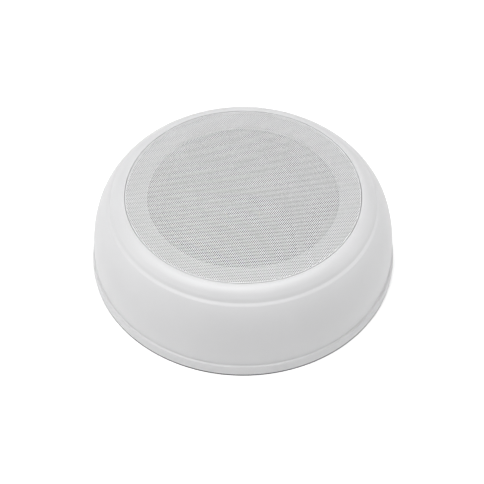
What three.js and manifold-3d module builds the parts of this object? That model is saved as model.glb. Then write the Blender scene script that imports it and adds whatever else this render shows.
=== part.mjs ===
// A round surface-mount ceiling loudspeaker for a voice alarm system.
// Millimetres. +Z points out through the grille. The origin is the centre of the back face,
// which lies on the ceiling, so the speaker shown here rests on its back.

import * as THREE from "three";
import { mergeVertices } from "three/addons/utils/BufferGeometryUtils.js";
import Module from "manifold-3d";

const wasm = await Module();
wasm.setup();

// ---------------------------------------------------------------- driving dimensions

const BASE_RADIUS = 125; // outer radius of the housing at the ceiling
const WALL = 2.5; // moulded wall thickness of the housing
const GAP = 0.3; // clearance where two pieces touch

const SEAL_HEIGHT = 1.2;
const LIP = { bottom: [BASE_RADIUS, 1.3], top: [123.6, 9.1], ledge: [122.3, 10] };
const SKIRT = { start: [122.1, 11], bend: [120.9, 45.2], end: [107.2, 60.2] };
const GROOVE = { shoulder: [106.3, 61.25], crease: [104.3, 62.4] };
const BEZEL = [
  [103.8, 62.9],
  [102.5, 64.7],
  [101, 66.2],
  [99, 67.85],
  [96.5, 69.2],
  [94, 69.75],
  [91.8, 69.4],
]; // ends at the recess that holds the grille
const BAFFLE = { top: 66.4, bottom: 64, openingRadius: 75 };
const INNER_WALL = { top: [102.4, 60.6], bend: [118, 45], bottom: [119.7, 10], rim: [122.2, 1.3] };

const GRILLE = { radius: 91.5, top: 69.4, sheet: 0.8, rimBottom: 66.7, corner: 0.8 };

const PLATE = { radius: 117.5, thickness: 2.6 };
const BAYONET = {
  count: 4,
  tabSpan: 14, // degrees of each raised tab on the plate
  lugSpan: 12, // degrees of each lug in the housing
  lugStart: 16, // where a lug waits at rest, just past its tab
  web: [106.5, 108.5],
  tabOuter: 117,
  tabBottom: 6.8,
  tabTop: 9,
  lugInner: 112,
  lugBottom: 3.4,
  lugTop: 6.2,
};
const KEYHOLE = { circle: 90, headRadius: 5, slotHalf: 2.4, slotLength: 10, firstAngle: 35 };
const CABLE_ENTRY = { y: -62, radius: 8, counterbore: 10.6, counterboreDepth: 1.3 };
const CABLE_CLAMP = { y: -80, postX: 10, postTop: 7.1, length: 28, width: 8, thickness: 1.8 };

const DRIVER = {
  flangeOuter: 82.5,
  flangeBottom: 60.9,
  flangeTop: 62.3,
  coneEdge: 61.5,
  coilRadius: 13,
  shelf: 42.8, // outer radius of the ledge that holds the spider
  windowInner: 46,
  windowOuter: 67,
  windowSpan: 44, // degrees
  windows: 6,
  tabAngle: 45, // the window that holds the terminal board
};
const MAGNET = { outer: 36, inner: 17, bottom: 10.2, top: 21.8 };
const CLAMP = { circle: 88.5, bossRadius: 3.6, bossBottom: 61, plateTop: 60.7, thickness: 1.3, count: 4 };

const TRANSFORMER = { y: 86, width: 42, depth: 16, bottom: 20, top: 54, strap: 1.2, earX: 29 };
const PILLAR = { circle: 97, radius: 4.5, bottom: 36 };
const BLOCK = { angle: 225, radial: 20, tangential: 26, height: 17, poleOffset: 7 };
const SELECTOR = { angle: 315, side: 24, bottom: 21.5, spindleRadius: 3, knobRadius: 7.5 };

const FUSE = { angle: 192, radius: 96, height: 30 };
const CAPACITOR = { angle: 160, radius: 93, bottom: 50.4 };

const OUTER_SEGMENTS = 48;
const INNER_SEGMENTS = 32;
const SMALL_SEGMENTS = 8;
const LEAD_RADIUS = 0.8;
const PILOT_RADIUS = 1.5; // hole that a screw bites into
const CLEAR_RADIUS = 1.9; // hole that a screw passes through

// ---------------------------------------------------------------- materials

function finish(color, roughness, metalness = 0) {
  return { color, roughness, metalness };
}

const WHITE_ABS = finish(0xeeeeee, 0.45);
const WHITE_PAINT = finish(0xe9e9ea, 0.5, 0.1);
const SEAL_RUBBER = finish(0x6d6e70, 0.85);
const BLACK_RUBBER = finish(0x1c1c1d, 0.8);
const BLACK_STEEL = finish(0x232426, 0.45, 0.6);
const ZINC_STEEL = finish(0xb9bcc0, 0.35, 0.9);
const FERRITE = finish(0x2e2e31, 0.7);
const PAPER = finish(0x3a3a3c, 0.9);
const PALE_PAPER = finish(0x8b8680, 0.9);
const CLOTH = finish(0x2a2a2b, 0.95);
const SPIDER_CLOTH = finish(0xb98b3c, 0.9);
const COPPER = finish(0xb5683a, 0.35, 0.9);
const BRASS = finish(0xc9a24a, 0.35, 0.9);
const PHENOLIC = finish(0x6b3f22, 0.6);
const CORE_STEEL = finish(0x55575b, 0.5, 0.7);
const NYLON_BLACK = finish(0x202021, 0.55);
const TAPE_YELLOW = finish(0xd9b43a, 0.5);
const CERAMIC = finish(0xf1ede2, 0.25);
const CAPACITOR_BLUE = finish(0x355f9a, 0.4);
const RED_PVC = finish(0xb3262a, 0.45);
const BLACK_PVC = finish(0x1b1b1c, 0.45);
const BLUE_PVC = finish(0x2d4f9e, 0.45);

const speaker = new THREE.Group();

function addPiece(name, geometry, look) {
  const mesh = new THREE.Mesh(geometry, new THREE.MeshStandardMaterial(look));
  mesh.name = name;
  speaker.add(mesh);
}

// ---------------------------------------------------------------- solid helpers

function toSolid(geometry) {
  const bare = geometry.clone();
  bare.deleteAttribute("normal");
  bare.deleteAttribute("uv");
  const merged = mergeVertices(bare, 1e-4);
  return new wasm.Manifold(
    new wasm.Mesh({
      numProp: 3,
      vertProperties: new Float32Array(merged.attributes.position.array),
      triVerts: new Uint32Array(merged.index.array),
    }),
  );
}

function toGeometry(solid) {
  const mesh = solid.getMesh();
  const geometry = new THREE.BufferGeometry();
  geometry.setAttribute("position", new THREE.BufferAttribute(mesh.vertProperties, 3));
  geometry.setIndex(new THREE.BufferAttribute(mesh.triVerts, 1));
  return geometry;
}

function join(first, ...others) {
  const whole = others.reduce((sum, piece) => sum.add(toSolid(piece)), toSolid(first));
  return toGeometry(whole);
}

function cut(body, ...tools) {
  const left = tools.reduce((rest, tool) => rest.subtract(toSolid(tool)), toSolid(body));
  return toGeometry(left);
}

// A solid of revolution about Z. The profile holds [radius, height] points: up the outside,
// then in and down.
function turned(profile, segments) {
  const points = profile.map(([radius, height]) => new THREE.Vector2(radius, height));
  if (profile[0][0] > 0) points.push(points[0].clone());
  return new THREE.LatheGeometry(points, segments).rotateX(Math.PI / 2);
}

function ring(inner, outer, bottom, top, segments) {
  return turned([[inner, bottom], [outer, bottom], [outer, top], [inner, top]], segments);
}

function rod(radius, bottom, top, segments = SMALL_SEGMENTS) {
  return turned([[0, bottom], [radius, bottom], [radius, top], [0, top]], segments);
}

function block(width, depth, bottom, top) {
  return new THREE.BoxGeometry(width, depth, top - bottom).translate(0, 0, (bottom + top) / 2);
}

// Part of a flat ring between two angles in degrees.
function sector(inner, outer, startAngle, endAngle, bottom, top) {
  const start = THREE.MathUtils.degToRad(startAngle);
  const end = THREE.MathUtils.degToRad(endAngle);
  const shape = new THREE.Shape();
  shape.absarc(0, 0, outer, start, end, false);
  shape.absarc(0, 0, inner, end, start, true);
  const options = { depth: top - bottom, bevelEnabled: false, curveSegments: 4 };
  return new THREE.ExtrudeGeometry(shape, options).translate(0, 0, bottom);
}

// Turns a piece made at radius x, offset y, to its angle around the speaker's axis.
function around(geometry, angle) {
  return geometry.rotateZ(THREE.MathUtils.degToRad(angle));
}

// The place that is radius out along an angle in degrees, then sideways along the turn, at a height.
function polar(angle, radius, sideways, height) {
  const radians = THREE.MathUtils.degToRad(angle);
  const [c, s] = [Math.cos(radians), Math.sin(radians)];
  return [radius * c - sideways * s, radius * s + sideways * c, height];
}

// A round wire along a smooth curve through the points.
function wire(points, radius, steps) {
  const route = new THREE.CatmullRomCurve3(points.map((p) => new THREE.Vector3(...p)));
  const section = new THREE.Shape();
  section.absarc(0, 0, radius, 0, 2 * Math.PI, false);
  const options = { steps, extrudePath: route, curveSegments: 4, bevelEnabled: false };
  return new THREE.ExtrudeGeometry(section, options);
}

// Points along a quadratic curve, ends included.
function curvePoints(start, bend, end, count) {
  const curve = new THREE.QuadraticBezierCurve(
    new THREE.Vector2(...start),
    new THREE.Vector2(...bend),
    new THREE.Vector2(...end),
  );
  return curve.getPoints(count).map((p) => [p.x, p.y]);
}

// A pan-head screw standing on its head: the head's flat rests on the XY plane and the shank points up.
function screw(headRadius, headHeight, shankRadius, length) {
  const profile = [
    [0, 0],
    [headRadius * 0.6, 0],
    [headRadius, headHeight * 0.5],
    [headRadius, headHeight],
    [shankRadius, headHeight],
    [shankRadius, headHeight + length],
    [0, headHeight + length],
  ];
  return turned(profile, SMALL_SEGMENTS);
}

// ---------------------------------------------------------------- ceiling side

function keyhole(angle) {
  const head = rod(KEYHOLE.headRadius, -1, PLATE.thickness + 1).translate(KEYHOLE.circle, 0, 0);
  const slot = block(2 * KEYHOLE.slotHalf, KEYHOLE.slotLength, -1, PLATE.thickness + 1);
  return around(join(head, slot.translate(KEYHOLE.circle, KEYHOLE.slotLength / 2, 0)), angle);
}

function bayonetTab(angle) {
  const { web, tabOuter, tabBottom, tabTop, tabSpan } = BAYONET;
  const standing = sector(web[0], web[1], 0, tabSpan, 1, tabTop);
  const shelf = sector(web[0], tabOuter, 0, tabSpan, tabBottom, tabTop);
  const stop = sector(web[0], tabOuter, -1.5, 0.5, 1, tabTop);
  return around(join(standing, shelf, stop), angle);
}

function mountingPlate() {
  const profile = [
    [0, 0],
    [PLATE.radius, 0],
    [PLATE.radius, PLATE.thickness],
    [102, PLATE.thickness],
    [101, PLATE.thickness + 1.4],
    [99, PLATE.thickness + 1.4],
    [98, PLATE.thickness],
    [0, PLATE.thickness],
  ];
  const posts = [-1, 1].map((side) =>
    rod(3.2, 1, CABLE_CLAMP.postTop).translate(side * CABLE_CLAMP.postX, CABLE_CLAMP.y, 0),
  );
  const pilots = [-1, 1].map((side) =>
    rod(1.3, 3.2, 20).translate(side * CABLE_CLAMP.postX, CABLE_CLAMP.y, 0),
  );
  const steps = Array.from({ length: BAYONET.count }, (_, i) => i * (360 / BAYONET.count));
  const disc = turned(profile, OUTER_SEGMENTS);
  const whole = join(disc, ...posts, ...steps.map(bayonetTab));
  const entry = join(
    rod(CABLE_ENTRY.radius, -1, 20, 16),
    rod(CABLE_ENTRY.counterbore, -1, CABLE_ENTRY.counterboreDepth, 16),
  ).translate(0, CABLE_ENTRY.y, 0);
  const keyholes = steps.map((angle) => keyhole(angle + KEYHOLE.firstAngle));
  return cut(whole, entry, ...pilots, ...keyholes);
}

function cableGrommet() {
  const hole = 5;
  const neck = CABLE_ENTRY.radius - GAP;
  const bottomFlange = CABLE_ENTRY.counterbore - GAP;
  const top = PLATE.thickness;
  const profile = [
    [hole, 0.1],
    [bottomFlange, 0.1],
    [bottomFlange, 1],
    [neck, 1],
    [neck, top + GAP],
    [10.4, top + GAP],
    [9.6, top + 1.8],
    [hole, top + 1.8],
  ];
  return turned(profile, 16).translate(0, CABLE_ENTRY.y, 0);
}

function cableClampStrap() {
  const bottom = CABLE_CLAMP.postTop + GAP;
  const top = bottom + CABLE_CLAMP.thickness;
  const strap = block(CABLE_CLAMP.length, CABLE_CLAMP.width, bottom, top);
  const rib = block(12, 2, bottom + 1, top + 1);
  const holes = [-1, 1].map((side) => rod(1.7, 0, 20).translate(side * CABLE_CLAMP.postX, 0, 0));
  return cut(join(strap, rib), ...holes).translate(0, CABLE_CLAMP.y, 0);
}

function buildCeilingSide() {
  addPiece("mounting_plate", mountingPlate(), WHITE_ABS);
  addPiece("cable_grommet", cableGrommet(), BLACK_RUBBER);
  addPiece("cable_clamp", cableClampStrap(), WHITE_ABS);
  const headSeat = CABLE_CLAMP.postTop + GAP + CABLE_CLAMP.thickness + GAP;
  [-1, 1].forEach((side, i) => {
    const piece = screw(2.8, 1.8, 1, 5).rotateX(Math.PI);
    piece.translate(side * CABLE_CLAMP.postX, CABLE_CLAMP.y, headSeat + 1.8);
    addPiece(`cable_clamp_screw_${i + 1}`, piece, ZINC_STEEL);
  });
  addPiece("rim_seal", ring(119.6, 124.9, 0, SEAL_HEIGHT, OUTER_SEGMENTS), SEAL_RUBBER);
}

// ---------------------------------------------------------------- housing and grille

function housingShell() {
  const skirt = curvePoints(SKIRT.start, SKIRT.bend, SKIRT.end, 5);
  const inside = curvePoints(INNER_WALL.top, INNER_WALL.bend, INNER_WALL.bottom, 4);
  const opening = BAFFLE.openingRadius;
  const recess = BEZEL[BEZEL.length - 1][0];
  const profile = [
    LIP.bottom,
    LIP.top,
    LIP.ledge,
    ...skirt,
    GROOVE.shoulder,
    GROOVE.crease,
    ...BEZEL,
    [recess, BAFFLE.top],
    [opening + 1, BAFFLE.top],
    [opening, BAFFLE.top - 1],
    [opening, BAFFLE.bottom],
    [100.4, BAFFLE.bottom],
    ...inside,
    [INNER_WALL.rim[0] - 0.6, 8.4],
    INNER_WALL.rim,
  ];
  return turned(profile, OUTER_SEGMENTS);
}

function bayonetLug(index) {
  const start = index * (360 / BAYONET.count) + BAYONET.lugStart;
  const wallDepth = BASE_RADIUS - WALL + 0.8;
  return sector(
    BAYONET.lugInner,
    wallDepth,
    start,
    start + BAYONET.lugSpan,
    BAYONET.lugBottom,
    BAYONET.lugTop,
  );
}

function housing() {
  const lugs = Array.from({ length: BAYONET.count }, (_, i) => bayonetLug(i));
  const clampAngles = Array.from({ length: CLAMP.count }, (_, i) => (i * 360) / CLAMP.count);
  const clampBosses = clampAngles.map((angle) =>
    around(rod(CLAMP.bossRadius, CLAMP.bossBottom, 64.5).translate(CLAMP.circle, 0, 0), angle),
  );
  const clampPilots = clampAngles.map((angle) =>
    around(rod(PILOT_RADIUS, 50, 65.2).translate(CLAMP.circle, 0, 0), angle),
  );
  const strapBosses = [-1, 1].map((side) =>
    rod(4, TRANSFORMER.top + 3.6, 64.5).translate(side * TRANSFORMER.earX, TRANSFORMER.y, 0),
  );
  const strapPilots = [-1, 1].map((side) =>
    rod(PILOT_RADIUS, 50, 64).translate(side * TRANSFORMER.earX, TRANSFORMER.y, 0),
  );
  const pillars = [BLOCK.angle, SELECTOR.angle].map((angle) =>
    around(rod(PILLAR.radius, PILLAR.bottom, 64.5).translate(PILLAR.circle, 0, 0), angle),
  );
  const pillarPilots = [BLOCK.angle, SELECTOR.angle].map((angle) =>
    around(rod(PILOT_RADIUS, 30, 48).translate(PILLAR.circle, 0, 0), angle),
  );
  const whole = join(housingShell(), ...lugs, ...clampBosses, ...strapBosses, ...pillars);
  return cut(whole, ...clampPilots, ...strapPilots, ...pillarPilots);
}

// A shallow pan of perforated sheet. The perforation is too fine to draw here.
function grille() {
  const { radius, top, sheet, rimBottom, corner } = GRILLE;
  return turned(
    [
      [radius - sheet, rimBottom],
      [radius, rimBottom],
      [radius, top - corner],
      [radius - corner * 0.3, top - corner * 0.3],
      [radius - corner, top],
      [0, top],
      [0, top - sheet],
      [radius - sheet - 0.3, top - sheet],
      [radius - sheet, top - sheet - 0.3],
    ],
    OUTER_SEGMENTS,
  );
}

function buildHousing() {
  addPiece("housing", housing(), WHITE_ABS);
  addPiece("grille", grille(), WHITE_PAINT);
}

// ---------------------------------------------------------------- loudspeaker driver

function basket() {
  const { flangeOuter, flangeBottom, flangeTop, shelf } = DRIVER;
  const profile = [
    [15.5, 27.3],
    [34, 27.3],
    [36.2, 32.4],
    [shelf + 0.7, 32.4],
    [71.2, flangeBottom],
    [flangeOuter, flangeBottom],
    [flangeOuter, flangeTop],
    [70.6, flangeTop],
    [shelf, 33.9],
    [35, 33.9],
    [32.8, 28.8],
    [15.5, 28.8],
  ];
  const { windowInner, windowOuter, windowSpan, windows, tabAngle } = DRIVER;
  const openings = Array.from({ length: windows }, (_, i) => {
    const middle = tabAngle + (i * 360) / windows;
    const half = windowSpan / 2;
    return sector(windowInner, windowOuter, middle - half, middle + half, 20, 60);
  });
  const frame = cut(turned(profile, INNER_SEGMENTS), ...openings);
  const tab = around(block(20, 20, 32.4, 33.9).translate(shelf + 9.5, 0, 0), tabAngle);
  return join(frame, tab);
}

// A pleated cloth ring from the cone's edge to the basket flange.
function surround() {
  const thickness = 0.5;
  const middleLine = [
    [62, 62.4],
    [63.4, 63.4],
    [65, 61.8],
    [66.8, 63.6],
    [68.6, 61.8],
    [70.4, 62.5],
    [81, 62.5],
  ];
  const above = middleLine.map(([radius, height]) => [radius, height + thickness]);
  return turned([...middleLine, ...above.reverse()], INNER_SEGMENTS);
}

// The corrugated disc that centres the voice coil.
function spider() {
  const thickness = 0.5;
  const waves = 3;
  const inner = 15;
  const outer = 36;
  const middleLine = [[13.6, 34.6]];
  for (let i = 0; i <= 2 * waves; i++) {
    const radius = inner + ((outer - inner) * i) / (2 * waves);
    middleLine.push([radius, i % 2 ? 36 : 34.2]);
  }
  middleLine.push([DRIVER.shelf - 0.4, 34.2]);
  const above = middleLine.map(([radius, height]) => [radius, height + thickness]);
  return turned([...middleLine, ...above.reverse()], INNER_SEGMENTS);
}

function cone() {
  const under = [
    [13.5, 40.2],
    [26, 44.2],
    [44, 51.6],
    [DRIVER.coneEdge, 61.4],
  ];
  const over = under.map(([radius, height]) => [radius, height + 1]);
  return turned([...under, ...over.reverse()], INNER_SEGMENTS);
}

function whizzerCone() {
  const under = [
    [14.2, 42.4],
    [17, 48],
    [23, 53],
    [32, 56],
  ];
  const over = under.map(([radius, height]) => [radius - 0.35, height + 0.5]);
  return turned([...under, ...over.reverse()], INNER_SEGMENTS);
}

function dustCap() {
  return turned(
    [
      [12.6, 41.4],
      [13, 41.4],
      [13, 42.4],
      [10.5, 45.4],
      [6, 47.2],
      [0, 47.8],
      [0, 47.3],
      [5.8, 46.7],
      [10.2, 45],
      [12.6, 42.2],
    ],
    INNER_SEGMENTS,
  );
}

function yoke() {
  const profile = [
    [0, 4.8],
    [31, 4.8],
    [33.5, 7],
    [33.5, MAGNET.bottom - GAP],
    [11.9, MAGNET.bottom - GAP],
    [11.9, 26.6],
    [0, 26.6],
  ];
  return turned(profile, INNER_SEGMENTS);
}

function tinselLead(side) {
  const start = [47.4, 5 * side, 37.4];
  const end = [33, 4 * side, 47];
  const middle = [
    [45, 5.4 * side, 41],
    [41, 5 * side, 42],
    [36, 4.4 * side, 42.6],
  ];
  return around(wire([start, ...middle, end], 0.5, 12), DRIVER.tabAngle);
}

function driverClamp() {
  const { circle, bossRadius, plateTop, thickness } = CLAMP;
  const bottom = plateTop - thickness;
  const innerEnd = DRIVER.flangeOuter - 4;
  const outerEnd = circle + bossRadius + GAP + thickness;
  const plate = block(outerEnd - innerEnd, 9, bottom, plateTop);
  plate.translate((innerEnd + outerEnd) / 2, 0, 0);
  const foot = block(thickness, 9, bottom, plateTop + 2.4).translate(outerEnd - thickness / 2, 0, 0);
  return cut(join(plate, foot), rod(CLEAR_RADIUS, 50, 70).translate(circle, 0, 0));
}

function buildDriver() {
  const { inner, outer, bottom, top } = MAGNET;
  addPiece("driver_gasket", ring(73.5, 82, 63.2, 63.8, INNER_SEGMENTS), BLACK_RUBBER);
  addPiece("basket", basket(), BLACK_STEEL);
  addPiece("surround", surround(), CLOTH);
  addPiece("spider", spider(), SPIDER_CLOTH);
  addPiece("pole_plate", ring(14.6, 34, 22.1, 27, INNER_SEGMENTS), ZINC_STEEL);
  addPiece("magnet", ring(inner, outer, bottom, top, INNER_SEGMENTS), FERRITE);
  addPiece("yoke", yoke(), ZINC_STEEL);
  addPiece("cone", cone(), PAPER);
  addPiece("whizzer_cone", whizzerCone(), PALE_PAPER);
  addPiece("dust_cap", dustCap(), PAPER);
  const former = ring(12.6, DRIVER.coilRadius, 19.5, 41, INNER_SEGMENTS);
  addPiece("voice_coil_former", former, PALE_PAPER);
  addPiece("voice_coil", ring(13.2, 13.8, 20, 29, INNER_SEGMENTS), COPPER);

  const board = block(15, 17, 34.2, 35.8).translate(55, 0, 0);
  addPiece("driver_terminal_board", around(board, DRIVER.tabAngle), PHENOLIC);
  [-1, 1].forEach((side, i) => {
    const lug = block(18, 3.6, 36.1, 36.9).translate(56, 5 * side, 0);
    addPiece(`driver_lug_${i + 1}`, around(lug, DRIVER.tabAngle), BRASS);
    addPiece(`tinsel_lead_${i + 1}`, tinselLead(side), COPPER);
  });

  for (let i = 0; i < CLAMP.count; i++) {
    const angle = (i * 360) / CLAMP.count;
    const seat = CLAMP.plateTop - CLAMP.thickness - GAP;
    const fixing = screw(3, 1.8, 1.2, 5.6).translate(CLAMP.circle, 0, seat - 1.8);
    addPiece(`driver_clamp_${i + 1}`, around(driverClamp(), angle), ZINC_STEEL);
    addPiece(`driver_clamp_screw_${i + 1}`, around(fixing, angle), ZINC_STEEL);
  }
}

// ---------------------------------------------------------------- line transformer

function transformerStrap() {
  const { width, bottom, top, strap, earX } = TRANSFORMER;
  const depth = 12;
  const inner = width + 2 * GAP;
  const outer = inner + 2 * strap;
  const earTop = top + 3.3;
  const floor = block(outer, depth, bottom - GAP - strap, bottom - GAP);
  const legs = [-1, 1].map((side) =>
    block(strap, depth, bottom - GAP - strap, earTop).translate((side * (inner + strap)) / 2, 0, 0),
  );
  const earWidth = earX + 5 - inner / 2;
  const ears = [-1, 1].map((side) =>
    block(earWidth, depth, earTop - strap, earTop).translate(side * (inner / 2 + earWidth / 2), 0, 0),
  );
  const holes = [-1, 1].map((side) => rod(CLEAR_RADIUS, 40, 70).translate(side * earX, 0, 0));
  return cut(join(floor, ...legs, ...ears), ...holes).translate(0, TRANSFORMER.y, 0);
}

function transformerCore() {
  const { width, depth, bottom, top, y } = TRANSFORMER;
  const limb = width / 6;
  const windowTool = block(limb, depth + 2, bottom + limb, top - limb);
  const windows = [-1, 1].map((side) => windowTool.clone().translate(side * limb * 1.5, 0, 0));
  return cut(block(width, depth, bottom, top), ...windows).translate(0, y, 0);
}

// The bobbin's tube runs round the core's middle limb, with a flange above and below the winding.
function transformerBobbin() {
  const { width, depth, bottom, top, y } = TRANSFORMER;
  const limb = width / 6;
  const windowBottom = bottom + limb + GAP;
  const windowTop = top - limb - GAP;
  const outerX = 4 * limb - 2 * GAP;
  const outerY = depth + 12;
  const tubeX = 2 * limb + 2.8;
  const tubeY = depth + 2.8;
  const spool = join(
    block(outerX, outerY, windowBottom, windowBottom + 1.2),
    block(tubeX, tubeY, windowBottom, windowTop),
    block(outerX, outerY, windowTop - 1.2, windowTop),
  );
  return cut(spool, block(2 * limb + 2 * GAP, depth + 2 * GAP, 0, 90)).translate(0, y, 0);
}

function transformerWinding() {
  const { width, depth, bottom, top, y } = TRANSFORMER;
  const limb = width / 6;
  const windingBottom = bottom + limb + 1.2 + 2 * GAP;
  const windingTop = top - limb - 1.2 - 2 * GAP;
  const outer = block(4 * limb - 1.4, depth + 10.6, windingBottom, windingTop);
  const inner = block(2 * limb + 2.8 + 2 * GAP, depth + 2.8 + 2 * GAP, 0, 90);
  return cut(outer, inner).translate(0, y, 0);
}

function buildTransformer() {
  addPiece("transformer_core", transformerCore(), CORE_STEEL);
  addPiece("transformer_bobbin", transformerBobbin(), NYLON_BLACK);
  addPiece("transformer_winding", transformerWinding(), TAPE_YELLOW);
  addPiece("transformer_strap", transformerStrap(), ZINC_STEEL);
  const seat = TRANSFORMER.top + 3.3 - TRANSFORMER.strap - GAP;
  [-1, 1].forEach((side, i) => {
    const fixing = screw(3, 1.8, 1.2, 7);
    fixing.translate(side * TRANSFORMER.earX, TRANSFORMER.y, seat - 1.8);
    addPiece(`transformer_screw_${i + 1}`, fixing, ZINC_STEEL);
  });
}

// ---------------------------------------------------------------- line terminals and tap selector

const BLOCK_TOP = PILLAR.bottom - GAP;
const BLOCK_BOTTOM = BLOCK_TOP - BLOCK.height;
const SLEEVE_LEVEL = BLOCK_BOTTOM + 5; // height of the terminals' wire holes
const POLE_SIDES = [-1, 1];
const CLAMP_RADIAL = 6; // distance of a terminal's two screws from the block's middle

function terminalBlock() {
  const { radial, tangential, poleOffset } = BLOCK;
  const body = block(radial, tangential, BLOCK_BOTTOM, BLOCK_TOP);
  const poles = POLE_SIDES.map((side) => {
    const hump = block(radial - 2, 9.5, BLOCK_BOTTOM - 3, BLOCK_BOTTOM + 1);
    return hump.translate(0, side * poleOffset, 0);
  });
  const bores = POLE_SIDES.map((side) => {
    const bore = rod(3.1, -20, 20).rotateY(Math.PI / 2);
    return bore.translate(0, side * poleOffset, SLEEVE_LEVEL);
  });
  const screwWells = POLE_SIDES.flatMap((side) =>
    [-1, 1].map((end) =>
      rod(2.4, BLOCK_BOTTOM - 10, SLEEVE_LEVEL).translate(end * CLAMP_RADIAL, side * poleOffset, 0),
    ),
  );
  const fixingHole = rod(2, 0, 60);
  const headWell = rod(3.6, 0, BLOCK_BOTTOM + 8);
  return cut(join(body, ...poles), ...bores, ...screwWells, fixingHole, headWell);
}

function terminalSleeve(side) {
  const tube = rod(2.7, -9, 9).rotateY(Math.PI / 2);
  const wireHole = rod(1.5, -20, 20).rotateY(Math.PI / 2);
  const taps = [-1, 1].map((end) => rod(1.7, -5, 0).translate(end * CLAMP_RADIAL, 0, 0));
  return cut(tube, wireHole, ...taps).translate(0, side * BLOCK.poleOffset, SLEEVE_LEVEL);
}

function buildTerminals() {
  const place = (geometry) => around(geometry.translate(PILLAR.circle, 0, 0), BLOCK.angle);
  addPiece("terminal_block", place(terminalBlock()), CERAMIC);
  POLE_SIDES.forEach((side, pole) => {
    addPiece(`terminal_sleeve_${pole + 1}`, place(terminalSleeve(side)), BRASS);
    [-1, 1].forEach((end, i) => {
      const piece = screw(2, 1.6, 1.4, 3.6);
      piece.translate(end * CLAMP_RADIAL, side * BLOCK.poleOffset, BLOCK_BOTTOM - 1.6);
      addPiece(`terminal_screw_${2 * pole + i + 1}`, place(piece), BRASS);
    });
  });
  const fixing = screw(3.1, 2, 1.2, 18).translate(0, 0, BLOCK_BOTTOM + 8 - 2 - GAP);
  addPiece("block_screw", place(fixing), ZINC_STEEL);
}

function selectorBody() {
  const { side, bottom, spindleRadius } = SELECTOR;
  const top = PILLAR.bottom - GAP;
  const wafer = rod(side / 2, bottom + 2, top, 24);
  const front = block(side - 5, side - 5, bottom, bottom + 3);
  const bush = rod(4.6, bottom - 3, bottom + 1, 16);
  const spindleHole = rod(spindleRadius + 0.4, bottom - 10, bottom + 7, 16);
  return cut(join(wafer, front, bush), spindleHole);
}

// A knurled knob with a pointer ridge, on a spindle that runs up into the switch.
function selectorKnob() {
  const { bottom, spindleRadius, knobRadius } = SELECTOR;
  const top = bottom - 3 - GAP;
  const teeth = 10;
  const body = rod(knobRadius, top - 6.5, top, 20);
  const flutes = Array.from({ length: teeth }, (_, i) =>
    around(rod(1.2, top - 10, top - 1.5).translate(knobRadius + 0.5, 0, 0), (i * 360) / teeth + 18),
  );
  const pointer = block(knobRadius, 1.6, top - 7.5, top - 6).translate(knobRadius / 2, 0, 0);
  const spindle = rod(spindleRadius, top - 1, bottom + 6.5, 16);
  return join(cut(body, ...flutes), pointer, spindle);
}

function buildSelector() {
  const place = (geometry) => around(geometry.translate(PILLAR.circle - 6, 0, 0), SELECTOR.angle);
  addPiece("selector_body", place(selectorBody()), NYLON_BLACK);
  addPiece("selector_knob", place(selectorKnob()), CERAMIC);
}

function buildSmallParts() {
  const capacitor = block(8, 16, CAPACITOR.bottom, BAFFLE.bottom - GAP);
  capacitor.translate(CAPACITOR.radius, 0, 0);
  addPiece("blocking_capacitor", around(capacitor, CAPACITOR.angle), CAPACITOR_BLUE);
  const fuse = rod(2.1, -5.5, 5.5).rotateX(Math.PI / 2).translate(FUSE.radius, 0, FUSE.height);
  addPiece("thermal_fuse", around(fuse, FUSE.angle), CERAMIC);
}

// ---------------------------------------------------------------- leads

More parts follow.
